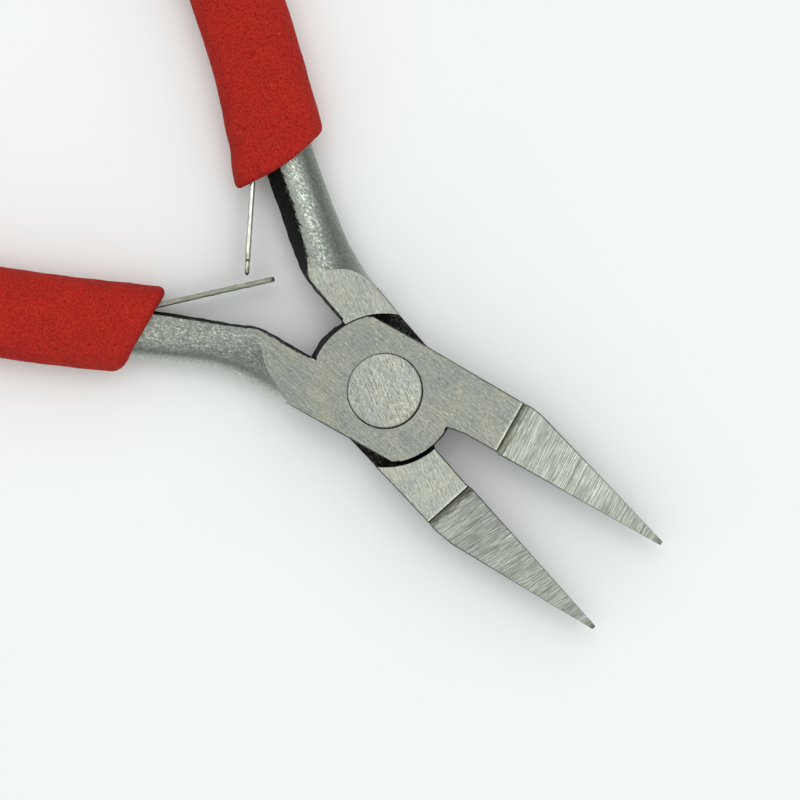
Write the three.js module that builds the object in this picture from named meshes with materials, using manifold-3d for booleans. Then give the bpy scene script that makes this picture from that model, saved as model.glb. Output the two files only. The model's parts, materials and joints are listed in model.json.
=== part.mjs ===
// Small sprung needle nose pliers: two lapped levers on a flush rivet, foam grips, two leaf springs.
// Millimetres. The origin is on the pivot axis at the joint's lower face. +X points to the jaw tips
// along the line between the jaws, and +Z runs up the pivot. The jaws are modelled at the opening
// that the springs hold them at.
//
// Each lever is shaped in its own frame: x towards its tip, +y towards the outer side of its jaw,
// with its jaw face on y = 0 and its handle on the -y side. The rear lever is turned over.

import * as THREE from 'three';
import { mergeVertices } from 'three/addons/utils/BufferGeometryUtils.js';
import Module from 'manifold-3d';

const wasm = await Module();
wasm.setup();

const rad = THREE.MathUtils.degToRad;

// Driving dimensions
const JOINT_THICKNESS = 8;
const REST_OPENING = rad(18.75);
const RIVET_RADIUS = 4.07;
const RUNNING_CLEARANCE = 0.05;
const BAR_JAW_SIDE = 6.5; // from the jaw face's plane to the outer side of the joint
const JAW_ROOT_SIDE = 6.25; // and to the outer side of the jaw's root
const JAW_ROOT_X = 13.7; // the step down from the joint's face to the jaw
const JAW_TIP_X = 34.5;
const GRIP_FRONT_X = -26;
const GRIP_WIDTH = 10;
const GRIP_THICKNESS = 9;
const SPRING_WIDTH = 4;
const SPRING_THICKNESS = 0.5;

const MID_Z = JOINT_THICKNESS / 2;
const LAYER_GAP = 0.1; // between the two half-thick discs
const FIT_GAP = 0.1; // between neighbouring pieces that are fixed to each other
const OVERRUN = 1; // how far a cutting tool reaches past what it cuts

// How finely round shapes and paths are divided
const ROUND_STEPS = 96;
const PIN_STEPS = 24;
const ARC_STEPS = 12;
const CORNER_STEPS = 2;
const PATH_STEPS = 80;
const TANG_STEPS = 24;
const GRIP_STEPS = 16;
const FOOT_STEPS = 400;
const FOOT_POINT_EVERY = 8; // the spring's outline takes one foot point in this many

// Joint, in plan
const DISC_RADIUS = 8.3; // the round side that turns in the other lever's handle shoulder
const NOSE_RADIUS = 7.8; // the round side that turns in the other lever's jaw shoulder
const HANDLE_SHOULDER_RADIUS = 8.45;
const JAW_SHOULDER_RADIUS = 8.2;

// Jaw
const JAW_FACE_GAP = 0.05; // from the closed plane to the gripping face
const FACE_RELIEF = 0.2; // from the closed plane to the joint's edge behind the gripping face
const RELIEF_START_X = 9.8;
const JAW_ROOT_OVERLAP = 0.3; // how far the jaw's solid reaches into the joint
const JAW_ROOT_END_X = 15; // the root's straight outer side ends here
const JAW_TAPER_X = 16.5; // and the straight taper starts here
const JAW_TAPER_DROP = 0.25; // this far in from the root's outer side
const JAW_TAPER = rad(17);
const JAW_TIP_RADIUS = 0.42;
const JAW_ROOT_THICKNESS = 6.4;
const JAW_TIP_THICKNESS = 2;

// Handle shank and tang
const SHANK_CORNER = 2.2;
const TANG_THICKNESS = 5.4;
const TANG_END = 0.96; // the share of the handle line that the tang fills
const SHANK_FULL_X = -11; // the shank is as thick as the joint from here on
const SHANK_THIN_X = -27; // and down to the tang's thickness from here back
const FLAT_END_X = -15.4; // where the joint's flat face runs out on the handle's inner side
const FLAT_START_X = -8.9; // and on its outer side
const HANDLE_LINE = [[-8, -3.6], [-14, -3.6], [-20, -5.2], [-43, -14.3], [-63, -20.3], [-81, -21]];

// Grip, around the tang
const GRIP_SHIFT = 0.5; // the grip's centre line is this far to the inner side of the tang's
const GRIP_CORNER = 3.6;
const GRIP_BLANK_FRONT_X = -20; // the sleeve before its mouth is cut
const BORE_FRONT_X = -18; // its bore and the spring's channel run from here
const MOUTH_CENTRE_Y = -9.2; // a tilted mouth crosses GRIP_FRONT_X here
const CHANNEL_SHARE = 0.55; // the share of the handle that the channel runs along
const BORE_CLEARANCE = 0.3;

// Leaf springs, riveted to the inner side of the tang under the grip
const FOOT_GAP = 0.1; // between the tang and the spring's foot
const FOOT_LENGTH = 12;
const SPRING_RIVET_RADIUS = 0.9;
const SPRING_RIVET_HEAD_RADIUS = 1.6;
const SPRING_RIVET_HEAD = 0.6;
const SPRING_RIVET_LENGTH = 5;
const SPRING_RIVET_FROM_BEND = 7;
const TONGUE_WIDTH = 1.6;
const TONGUE_LENGTH = 1.8;
const TONGUE_THICKNESS = 0.4;

// What differs between the two levers: where the flat sides of the handle's root lie, how wide the
// shank is, how far the handle is bent outwards about the pivot, how much is ground off the jaw, how
// far the grip's mouth is from square, and the leaf spring.
const SIDES = {
  front: {
    handleInner: 0.6,
    handleOuter: 6.4,
    shankWidth: 5.2,
    swing: 0,
    jawGroundOff: 0,
    mouthTilt: 0,
    bendX: -27,
    springTip: [-16.6, 4.75],
    tongue: false,
  },
  rear: {
    handleInner: 1.6,
    handleOuter: 6.8,
    shankWidth: 5.6,
    swing: rad(3.3),
    jawGroundOff: 0.2,
    mouthTilt: rad(8),
    bendX: -29.3,
    springTip: [-19.5, 2.7],
    tongue: true,
  },
};

// Solids and geometry helpers

function solid(geometry) {
  const bare = geometry.clone();
  bare.deleteAttribute('normal');
  bare.deleteAttribute('uv');
  const merged = mergeVertices(bare);
  const mesh = new wasm.Mesh({
    numProp: 3,
    vertProperties: new Float32Array(merged.attributes.position.array),
    triVerts: new Uint32Array(merged.index.array),
  });
  return new wasm.Manifold(mesh);
}

function geometryOf(body) {
  const mesh = body.getMesh();
  const geometry = new THREE.BufferGeometry();
  geometry.setAttribute('position', new THREE.BufferAttribute(mesh.vertProperties, 3));
  geometry.setIndex(new THREE.BufferAttribute(mesh.triVerts, 1));
  geometry.computeVertexNormals();
  return geometry;
}

function slab(outline, low, high) {
  const options = { depth: high - low, bevelEnabled: false, curveSegments: ARC_STEPS };
  return new THREE.ExtrudeGeometry(outline, options).translate(0, 0, low);
}

function roundBar(radius, low, high) {
  const bar = new THREE.CylinderGeometry(radius, radius, high - low, ROUND_STEPS);
  return bar.rotateX(Math.PI / 2).translate(0, 0, (low + high) / 2);
}

// A rectangle with round corners. Its first side runs across a swept piece's thickness.
function roundedRectangle(thickness, width, corner) {
  const x = thickness / 2;
  const y = width / 2;
  const outline = new THREE.Shape();
  outline.moveTo(x, y - corner);
  outline.absarc(x - corner, y - corner, corner, 0, Math.PI / 2, false);
  outline.absarc(corner - x, y - corner, corner, Math.PI / 2, Math.PI, false);
  outline.absarc(corner - x, corner - y, corner, Math.PI, Math.PI * 1.5, false);
  outline.absarc(x - corner, corner - y, corner, Math.PI * 1.5, Math.PI * 2, false);
  return outline;
}

function sweep(section, path, steps) {
  return new THREE.ExtrudeGeometry(section, { steps, extrudePath: path, curveSegments: CORNER_STEPS });
}

// Scale a piece about the joint's middle plane by a factor that depends on x.
function thin(geometry, factorAt) {
  const position = geometry.attributes.position;
  for (let i = 0; i < position.count; i += 1) {
    const factor = factorAt(position.getX(i));
    position.setZ(i, MID_Z + (position.getZ(i) - MID_Z) * factor);
  }
  return geometry;
}

// The curve through a lever's handle, moved sideways by offset towards the inner side.
function handlePath(side, offset = 0) {
  const points = HANDLE_LINE.map(([x, y]) => new THREE.Vector3(x, y, MID_Z));
  const line = new THREE.CatmullRomCurve3(points, false, 'centripetal');
  const pivotAxis = new THREE.Vector3(0, 0, 1);
  const moved = [];
  for (let i = 0; i <= PATH_STEPS; i += 1) {
    const share = i / PATH_STEPS;
    const tangent = line.getTangentAt(share);
    const inward = new THREE.Vector3(tangent.y, -tangent.x, 0);
    const point = line.getPointAt(share).addScaledVector(inward, offset);
    moved.push(point.applyAxisAngle(pivotAxis, side.swing));
  }
  return new THREE.CatmullRomCurve3(moved);
}

// The part of a path that lies behind x, as a curve of its own.
function pathBehind(path, x, share = 1) {
  const points = path.getSpacedPoints(PATH_STEPS).slice(0, Math.round(PATH_STEPS * share) + 1);
  return new THREE.CatmullRomCurve3(points.filter((point) => point.x < x));
}

// Levers

function jointOutline(side) {
  const discStart = Math.PI - Math.asin(BAR_JAW_SIDE / DISC_RADIUS);
  const discEnd = Math.PI + Math.asin(side.handleInner / DISC_RADIUS);
  const noseStart = -Math.asin(side.handleOuter / NOSE_RADIUS);
  const outline = new THREE.Shape();
  outline.moveTo(JAW_ROOT_X, JAW_ROOT_SIDE - side.jawGroundOff);
  outline.lineTo(0, BAR_JAW_SIDE);
  outline.lineTo(DISC_RADIUS * Math.cos(discStart), BAR_JAW_SIDE);
  outline.absarc(0, 0, DISC_RADIUS, discStart, discEnd, false);
  outline.lineTo(FLAT_END_X, -side.handleInner);
  outline.lineTo(FLAT_START_X, -side.handleOuter);
  outline.absarc(0, 0, NOSE_RADIUS, noseStart, 0, false);
  outline.lineTo(RELIEF_START_X, FACE_RELIEF);
  outline.lineTo(JAW_ROOT_X, FACE_RELIEF);
  return outline;
}

// The room that the other lever's disc turns in.
function pocketOutline() {
  const outline = new THREE.Shape();
  outline.absarc(0, 0, HANDLE_SHOULDER_RADIUS, Math.PI / 2, Math.PI * 1.5, false);
  outline.absarc(0, 0, JAW_SHOULDER_RADIUS, Math.PI * 1.5, Math.PI * 2.5, false);
  return outline;
}

function jaw(side) {
  const outerY = JAW_ROOT_SIDE - side.jawGroundOff;
  const outline = new THREE.Shape();
  outline.moveTo(JAW_ROOT_X - JAW_ROOT_OVERLAP, FACE_RELIEF);
  outline.lineTo(JAW_ROOT_X + JAW_ROOT_OVERLAP, JAW_FACE_GAP);
  outline.lineTo(JAW_TIP_X - JAW_TIP_RADIUS, JAW_FACE_GAP);
  outline.absarc(JAW_TIP_X - JAW_TIP_RADIUS, JAW_FACE_GAP + JAW_TIP_RADIUS, JAW_TIP_RADIUS,
    -Math.PI / 2, Math.PI / 2 - JAW_TAPER, false);
  outline.lineTo(JAW_TAPER_X, outerY - JAW_TAPER_DROP);
  outline.lineTo(JAW_ROOT_END_X, outerY);
  outline.lineTo(JAW_ROOT_X - JAW_ROOT_OVERLAP, outerY);
  const thicknessAt = (x) => THREE.MathUtils.mapLinear(
    x, JAW_ROOT_X, JAW_TIP_X, JAW_ROOT_THICKNESS, JAW_TIP_THICKNESS);
  return thin(slab(outline, 0, JOINT_THICKNESS), (x) => thicknessAt(x) / JOINT_THICKNESS);
}

function shankAndTang(side) {
  const path = pathBehind(handlePath(side), 0, TANG_END);
  const section = roundedRectangle(JOINT_THICKNESS, side.shankWidth, SHANK_CORNER);
  const thinnest = TANG_THICKNESS / JOINT_THICKNESS;
  return thin(sweep(section, path, TANG_STEPS), (x) => {
    const share = THREE.MathUtils.smoothstep(-x, -SHANK_FULL_X, -SHANK_THIN_X);
    return THREE.MathUtils.lerp(1, thinnest, share);
  });
}

function leverSolid(side) {
  const lowerLayer = MID_Z + LAYER_GAP / 2;
  const pocket = solid(slab(pocketOutline(), -OVERRUN, lowerLayer));
  const rivetHole = solid(roundBar(
    RIVET_RADIUS + RUNNING_CLEARANCE, -OVERRUN, JOINT_THICKNESS + OVERRUN));
  return solid(slab(jointOutline(side), 0, JOINT_THICKNESS))
    .add(solid(jaw(side)))
    .add(solid(shankAndTang(side)))
    .subtract(pocket)
    .subtract(rivetHole)
    .subtract(solid(springRivetHole(side)));
}

// Leaf springs and their rivets

// The line that the spring's foot lies on, against the inner side of the tang.
function footLine(side) {
  return handlePath(side, side.shankWidth / 2 + FOOT_GAP + SPRING_THICKNESS / 2);
}

// The foot's points from the bend to its end, and how far along the line its rivet is.
function springLayout(side) {
  const foot = footLine(side);
  const points = foot.getSpacedPoints(FOOT_STEPS);
  const bend = points.findIndex((point) => point.x <= side.bendX);
  const stepLength = foot.getLength() / FOOT_STEPS;
  const rivet = bend + Math.round(SPRING_RIVET_FROM_BEND / stepLength);
  const end = bend + Math.round(FOOT_LENGTH / stepLength);
  return { points: points.slice(bend, end), rivetShare: rivet / FOOT_STEPS };
}

// The spring seen edge-on from its foot's end to tip, with half its thickness on each side.
function springOutline(side, tip, half = SPRING_THICKNESS / 2) {
  const { points } = springLayout(side);
  const spaced = points.filter((point, index) => index % FOOT_POINT_EVERY === 0);
  const line = [...spaced.reverse(), tip];
  const edge = (sign) => line.map((point, index) => {
    const before = line[Math.max(index - 1, 0)];
    const after = line[Math.min(index + 1, line.length - 1)];
    const along = after.clone().sub(before).normalize();
    return new THREE.Vector2(point.x - along.y * half * sign, point.y + along.x * half * sign);
  });
  return new THREE.Shape([...edge(1), ...edge(-1).reverse()]);
}

function springSolid(side) {
  const [tipX, tipY] = side.springTip;
  const tip = new THREE.Vector3(tipX, tipY, MID_Z);
  const { points, rivetShare } = springLayout(side);
  const hole = solid(rivetBar(side, rivetShare, SPRING_RIVET_RADIUS + FIT_GAP, OVERRUN, OVERRUN));
  const bladeTip = tip.clone();
  if (side.tongue) {
    bladeTip.addScaledVector(tip.clone().sub(points[0]).normalize(), -TONGUE_LENGTH);
  }
  let body = solid(slab(
    springOutline(side, bladeTip), MID_Z - SPRING_WIDTH / 2, MID_Z + SPRING_WIDTH / 2));
  if (side.tongue) {
    const tongueOutline = springOutline(side, tip, TONGUE_THICKNESS / 2);
    body = body.add(solid(slab(tongueOutline, MID_Z - TONGUE_WIDTH / 2, MID_Z + TONGUE_WIDTH / 2)));
  }
  return body.subtract(hole);
}

// A round bar across the spring's foot, reaching inward from it and outward into the tang.
function rivetBar(side, share, radius, inward, outward) {
  const foot = footLine(side);
  const tangent = foot.getTangentAt(share);
  const direction = new THREE.Vector3(tangent.y, -tangent.x, 0);
  const bar = new THREE.CylinderGeometry(radius, radius, inward + outward, PIN_STEPS);
  bar.translate(0, (inward - outward) / 2, 0);
  bar.applyQuaternion(new THREE.Quaternion().setFromUnitVectors(new THREE.Vector3(0, 1, 0), direction));
  const place = foot.getPointAt(share);
  return bar.translate(place.x, place.y, place.z);
}

function springRivetHole(side) {
  const depth = SPRING_RIVET_LENGTH + FIT_GAP;
  return rivetBar(side, springLayout(side).rivetShare, SPRING_RIVET_RADIUS + FIT_GAP, OVERRUN, depth);
}

function springRivetSolid(side) {
  const share = springLayout(side).rivetShare;
  const headStart = SPRING_THICKNESS / 2 + FIT_GAP;
  const headEnd = headStart + SPRING_RIVET_HEAD;
  const shaft = solid(rivetBar(side, share, SPRING_RIVET_RADIUS, headEnd, SPRING_RIVET_LENGTH));
  const head = solid(rivetBar(side, share, SPRING_RIVET_HEAD_RADIUS, headEnd, -headStart));
  return shaft.add(head);
}

// Grips

function gripSolid(side) {
  const outerPath = pathBehind(handlePath(side, GRIP_SHIFT), GRIP_BLANK_FRONT_X);
  const outer = solid(sweep(
    roundedRectangle(GRIP_THICKNESS, GRIP_WIDTH, GRIP_CORNER), outerPath, GRIP_STEPS));
  const end = new THREE.SphereGeometry(GRIP_WIDTH / 2, GRIP_STEPS, ARC_STEPS);
  end.scale(1, 1, GRIP_THICKNESS / GRIP_WIDTH);
  const endPoint = outerPath.getPointAt(1);
  end.translate(endPoint.x, endPoint.y, endPoint.z);

  const tangPath = pathBehind(handlePath(side), BORE_FRONT_X, TANG_END);
  const bore = solid(sweep(
    roundedRectangle(
      TANG_THICKNESS + 2 * BORE_CLEARANCE, side.shankWidth + 2 * BORE_CLEARANCE, SHANK_CORNER / 2),
    tangPath, GRIP_STEPS));
  const channelWidth = SPRING_WIDTH + 2 * BORE_CLEARANCE;
  const channelDepth = SPRING_THICKNESS + SPRING_RIVET_HEAD + 3 * BORE_CLEARANCE;
  const channelPath = pathBehind(
    handlePath(side, side.shankWidth / 2 + channelDepth / 2), BORE_FRONT_X, CHANNEL_SHARE);
  const channel = solid(sweep(
    roundedRectangle(channelWidth, channelDepth, BORE_CLEARANCE), channelPath, GRIP_STEPS));

  const slotHeight = SPRING_WIDTH / 2 + BORE_CLEARANCE;
  const slotOutline = springOutline(
    side, new THREE.Vector3(...side.springTip, MID_Z), SPRING_THICKNESS / 2 + BORE_CLEARANCE);
  const slot = solid(slab(slotOutline, MID_Z - slotHeight, MID_Z + slotHeight));

  const cutter = 3 * GRIP_WIDTH; // wide enough to take all that lies in front of the mouth
  const front = new THREE.BoxGeometry(cutter, cutter, cutter).translate(cutter / 2, 0, 0);
  front.rotateZ(side.mouthTilt).translate(GRIP_FRONT_X, MOUTH_CENTRE_Y, MID_Z);
  return outer.add(solid(end)).subtract(bore).subtract(channel).subtract(slot).subtract(solid(front));
}

// Assembly

const STEEL = new THREE.MeshStandardMaterial({ color: 0xa3a5a2, roughness: 0.42, metalness: 1 });
const RIVET_STEEL = new THREE.MeshStandardMaterial({ color: 0xb4b5b2, roughness: 0.36, metalness: 1 });
const SPRING_STEEL = new THREE.MeshStandardMaterial({ color: 0x9b9c94, roughness: 0.4, metalness: 1 });
const FOAM = new THREE.MeshStandardMaterial({ color: 0xb2231d, roughness: 0.9, metalness: 0 });

function named(name, geometry, material) {
  const mesh = new THREE.Mesh(geometry, material.clone());
  mesh.name = name;
  return mesh;
}

function sideGroup(name, side) {
  const group = new THREE.Group();
  group.add(named(`${name}_lever`, geometryOf(leverSolid(side)), STEEL));
  group.add(named(`${name}_grip`, geometryOf(gripSolid(side)), FOAM));
  group.add(named(`${name}_leaf_spring`, geometryOf(springSolid(side)), SPRING_STEEL));
  group.add(named(`${name}_spring_rivet`, geometryOf(springRivetSolid(side)), RIVET_STEEL));
  return group;
}

const pliers = new THREE.Group();

const front = sideGroup('front', SIDES.front);
front.rotation.z = REST_OPENING / 2;
pliers.add(front);

const rear = sideGroup('rear', SIDES.rear);
rear.rotation.x = Math.PI;
rear.position.z = JOINT_THICKNESS;
const rearTurn = new THREE.Group();
rearTurn.rotation.z = -REST_OPENING / 2;
rearTurn.add(rear);
pliers.add(rearTurn);

pliers.add(named('pivot_rivet', roundBar(RIVET_RADIUS, 0, JOINT_THICKNESS), RIVET_STEEL));

export default pliers;
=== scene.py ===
import json
import math
from dataclasses import dataclass

import bmesh
import bpy
import numpy as np
from mathutils import Matrix, Vector, noise


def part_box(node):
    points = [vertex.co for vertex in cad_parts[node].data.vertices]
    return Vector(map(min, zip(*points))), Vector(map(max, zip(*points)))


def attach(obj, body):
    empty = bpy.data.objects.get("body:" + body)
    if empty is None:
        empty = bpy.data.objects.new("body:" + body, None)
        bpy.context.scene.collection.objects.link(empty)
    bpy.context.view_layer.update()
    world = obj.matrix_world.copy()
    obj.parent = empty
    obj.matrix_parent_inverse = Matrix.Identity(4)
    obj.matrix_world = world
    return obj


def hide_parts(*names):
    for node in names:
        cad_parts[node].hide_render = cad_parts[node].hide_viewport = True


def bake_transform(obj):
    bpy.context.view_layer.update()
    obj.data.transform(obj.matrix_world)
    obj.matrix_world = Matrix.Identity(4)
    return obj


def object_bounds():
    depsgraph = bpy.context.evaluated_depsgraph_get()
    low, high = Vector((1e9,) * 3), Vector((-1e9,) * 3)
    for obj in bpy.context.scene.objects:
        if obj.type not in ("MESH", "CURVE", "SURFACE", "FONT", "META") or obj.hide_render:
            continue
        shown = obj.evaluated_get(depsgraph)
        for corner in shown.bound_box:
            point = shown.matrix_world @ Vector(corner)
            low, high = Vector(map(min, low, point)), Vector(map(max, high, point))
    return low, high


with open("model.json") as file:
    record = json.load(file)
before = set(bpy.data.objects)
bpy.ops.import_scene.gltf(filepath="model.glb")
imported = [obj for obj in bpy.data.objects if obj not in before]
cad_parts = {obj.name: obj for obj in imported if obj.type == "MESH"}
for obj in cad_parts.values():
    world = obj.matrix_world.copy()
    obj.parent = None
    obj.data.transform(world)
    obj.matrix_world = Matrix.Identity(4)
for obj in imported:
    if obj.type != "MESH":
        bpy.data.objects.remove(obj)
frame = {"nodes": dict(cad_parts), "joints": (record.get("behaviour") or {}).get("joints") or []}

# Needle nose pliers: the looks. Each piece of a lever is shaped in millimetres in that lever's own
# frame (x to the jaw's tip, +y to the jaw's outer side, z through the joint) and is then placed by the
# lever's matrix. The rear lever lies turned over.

cad_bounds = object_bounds()

MM = 0.001

# Sizes that the frame holds
rivet_low, rivet_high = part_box("pivot_rivet")
JOINT_THICKNESS = (rivet_high.z - rivet_low.z) / MM
MID_Z = JOINT_THICKNESS / 2
RIVET_RADIUS = (rivet_high.x - rivet_low.x) / 2 / MM
JOINTS = {joint["name"]: joint for joint in frame["joints"]}
REST_OPENING = math.radians(JOINTS["squeeze"]["range_deg"][1])
FLOOR_Z = cad_bounds[0][2]

# Joint, in plan
JAW_ROOT_X = 13.7
DISC_RADIUS = 8.3
DISC_FOOT_RADIUS = 8.9  # the disc's rough edge slants out to this at the joint's middle plane
NOSE_RADIUS = 7.8
NOSE_FOOT_RADIUS = 8.0
HANDLE_SHOULDER_RADIUS = 8.45
HANDLE_SHOULDER_FOOT_RADIUS = 9.3
JAW_SHOULDER_RADIUS = 8.2
JAW_SHOULDER_FOOT_RADIUS = 8.45
DISC_RIM = (131.5, 184)  # where the disc has its rough edge, in degrees
NOSE_RIM = (-52, -4)
RIM_CURVE = 0.7  # below 1, a rough edge slants most near the face
RIM_ROUGHNESS = 0.35
NOSE_START_X = -5
NOSE_END_Y = -0.2
LAYER_GAP = 0.1  # between the two levers' halves of the joint
PLATE_END_X = -8.9

# Pivot rivet
RIVET_HOLE_RADIUS = RIVET_RADIUS + 0.085
RIVET_OFFSET = 0.07  # the rivet sits this far off the hole's centre, which widens the gap on one side
RIVET_CHAMFER = 0.06
RIVET_CROWN = 0.02  # its face stands this much higher in the middle than at the chamfer

# Jaw
FACE_GAP = 0.05  # from the gripping face to the plane in which the jaws meet
FACE_RELIEF = 0.2  # and from the edge behind it, at the jaw's root
JAW_TIP_X = 34.5
JAW_TIP_CORNER = 0.16
JAW_TIP_INSET = 0.1  # from the tapering side to the centre of the tip's outer corner
FACE_START_X = 14.2
JAW_SHOULDER = [(15.9, -0.1), (14.8, 0.05)]  # x, and how far outside the root's side
JAW_TAPER = math.radians(17)
JAW_TAPER_START = (17.3, 5.75)
JAW_ROOT_HALF_THICKNESS = 3.2
JAW_TIP_HALF_THICKNESS = 1.0
STEP_LENGTH = 0.95  # along the jaw, of the hollow below the joint's face
STEP_WALL = 0.12  # and of its steep part
STEEP_SHARE = 0.4  # of the hollow's depth

# Handle
TANG_HALF_THICKNESS = 2.7
THIN_FROM_X = -15.5  # the handle thins from the joint's thickness to the tang's from here
THIN_TO_X = -27  # to here
SHANK_START_X = PLATE_END_X + 1.5
FINE_TO_X = -30  # up to here, which is as far as the photo shows, the shank's rings are close
FINE_STEP = 0.35
TOP_STEPS = 18
FLAT_STEPS = 3
WALL_STEPS = 8
WALL_CURVE = 0.8  # below 1, the slanting wall is steepest at the middle plane
WALL_BUMPS = 0.07
HANDLE_SPAN = (-32, -7)  # the stretch along x on which the handle's finish follows its shape

# Grip
GRIP_END_LENGTH = 4.8  # of the round end
GRIP_HALF_WIDTH = 5
GRIP_HALF_THICKNESS = 4.45
GRIP_SHIFT = 0.45  # the grip's centre line is this far to the inner side of the tang's
GRIP_SQUARENESS = 2.9  # 2 is an ellipse
GRIP_END_SQUARENESS = 2.5
GRIP_STEP = 0.3
GRIP_END_GAP = 0.05  # how far the round end stays inside the CAD piece's
GRIP_BUMPS = [(3, 0.1), (0.5, 0.035)]  # size and height
GRIP_SINK = 0.06  # how far the surface goes in, to make up for the bumps
MID_GRIP_X = -40
BORE_SQUARENESS = 2.6
BORE_GAP = 0.3
BORE_DEPTHS = (0, 0.3, 0.9, 2, 4, 8, 12, 15, 18, 30, 51.5)
FOOT_ROOM = 1.5  # that the bore leaves for the leaf spring's foot
FOOT_ROOM_END = (14, 18)  # it fades out between these depths
MOUTH_SLOT_DEPTH = 6
FLARE_FROM_X = -30
MOUTH_LEAN = 0.13  # how far the mouth's cut leans back per mm, going down
MOUTH_LEAN_TOP = 1  # from this far above the middle plane

# Leaf springs
SPRING_THICKNESS = 0.5
SPRING_HALF_WIDTH = 2
SPRING_FOOT_END_X = -38
SPRING_FOOT_GAP = 0.1
SPRING_TIP_LENGTH = 0.25  # over which the strip's end is rounded
TONGUE_HALF_WIDTH = 0.8
TONGUE_LENGTH = 1.8
TONGUE_SHOULDER = 0.25
TONGUE_ROUGHNESS = 0.09
TONGUE_THINNING = 0.02

EDGE_ROUNDING = 0.12
SMALLEST_EDGE = 0.04
TIP_UNROUNDED = 0.6  # the length at the jaw's tip whose edges stay as they are
OVERSHOOT = 1  # how far a shape that cuts, or is cut, reaches past the surface
REACH = 20  # further to each side than the joint and jaw go

# Light and floor
LIGHT_TILT = math.radians(4)
LIGHT_AXIS = (0, math.sin(LIGHT_TILT), math.cos(LIGHT_TILT))
LIGHT_STRENGTH = 4.05
FLOOR_HALF_SIZE = 4000

# Camera: straight above, turned like the photo's
CAMERA_PLACE = (0.00188, 0.00026, 0.6)  # in metres
CAMERA_TURN = math.radians(38.7)
CAMERA_LENS = 245
CAMERA_SENSOR = 36


@dataclass
class Side:
    """What differs between the two levers. Curves are lists of (x, y) points or (x, value) points."""

    name: str
    handle_inner: list  # the handle's silhouette on the side between the handles
    handle_outer: list
    wall: list  # how wide the slanting wall below the handle's inner arris is, in plan
    flat_share: list  # how much of the handle's width the joint's flat face covers
    roundness: list  # 1 falls off straight from the arris, 2 is an ellipse
    bar_side: float  # from the plane in which the jaws meet to the outer side of the joint
    root_side: float  # and to the outer side of the jaw's root
    relief: list  # the joint's edge between the nose and the gripping face
    mouth_x: float
    mouth_tilt: float
    mouth_bulge: float  # how far the middle of the mouth stands forward of its sides
    mouth_flare: float  # how much wider the grip is at its mouth, on the inner side
    mouth_lip: float  # radius of the mouth's rounded lip
    mouth_slot: float  # how far the bore opens for the spring at the mouth
    bend_x: float  # where the leaf spring leaves the tang
    spring_tip: tuple
    spring_corner: float  # radius of the strip's edges
    spring_burrs: float  # how much its thickness varies, as a share
    spring_colour: tuple
    spring_gloss: float  # as roughness
    spring_tones: list  # how bright the strip is along x, counted from 0.75 mm further on
    tongue: bool
    face_streaks: float  # direction of the grinding marks, in the lever's frame
    jaw_streaks: float
    shank_streaks: float
    face_tones_and_edge_highlight: list  # how bright the joint's face is along x, ending in a painted highlight along the step's edge
    # painted light along the jaw: the front jaw is painted brighter, as it faces the light, and both
    # darken at the tip
    jaw_painted_light: list
    shank_painted_shading: list  # and the painted light and shade across the shank, from its arris (0) to its outer side (1)
    painted_glint_band: list  # and where across it the grain is painted much brighter, as painted glints where the crest catches the light
    raggedness: float  # of the black scale's edge


FRONT = Side(
    name="front",
    handle_inner=[(-7, -0.65), (-14.7, -0.6), (-18.3, -1.8), (-26, -4.6), (-43, -11.4),
                  (-63, -17.6), (-79, -18.4)],
    handle_outer=[(-7, -6.4), (-14, -6.35), (-18, -7.05), (-22, -8.65), (-26, -10.4),
                  (-43, -17.2), (-63, -22.9), (-79, -23.6)],
    wall=[(-8, 0.28), (-14, 0.26), (-17, 0.35), (-30, 0.42)],
    flat_share=[(-8.9, 0.985), (-10.5, 0.8), (-12.8, 0.54), (-15.2, 0.05), (-15.5, 0.02)],
    roundness=[(-9, 1.1), (-14, 1.5), (-20, 3.0), (-27, 3.4)],
    bar_side=6.5,
    root_side=6.25,
    relief=[(8.7, 0.03), (9.9, 0.19)],
    mouth_x=-26.1,
    mouth_tilt=0,
    mouth_bulge=0,
    mouth_flare=0,
    mouth_lip=1.0,
    mouth_slot=1.1,
    bend_x=-27,
    spring_tip=(-16.6, 4.75),
    spring_corner=0.05,
    spring_burrs=0.16,
    spring_colour=(0.2, 0.2, 0.165),
    spring_gloss=0.5,
    spring_tones=[(-27, 1), (-16.2, 1.05), (-15.9, 0.7), (-15.6, 0.7)],
    tongue=False,
    face_streaks=math.radians(-13),
    jaw_streaks=math.radians(92.3),
    shank_streaks=math.radians(10),
    # The face's last tone is a painted highlight along the step's edge
    face_tones_and_edge_highlight=[(-13, 0.81), (3, 0.86), (13.45, 0.91), (13.6, 1.7)],
    # Painted light along the jaw
    jaw_painted_light=[(15, 1.34), (25, 1.42), (33, 1.15), (34.4, 0.6)],
    # Painted light and shade across the shank
    shank_painted_shading=[(0.05, 1.28), (0.3, 1.35), (0.52, 1.48), (0.68, 1.6), (0.82, 1.2), (0.92, 2.3),
                 (1, 2.8)],
    # Painted glints across the shank
    painted_glint_band=[(0.0, 0.3), (0.2, 0.65), (0.55, 0.65), (0.7, 0.3), (0.8, 0), (1, 0.2)],
    raggedness=0.9,
)

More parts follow.
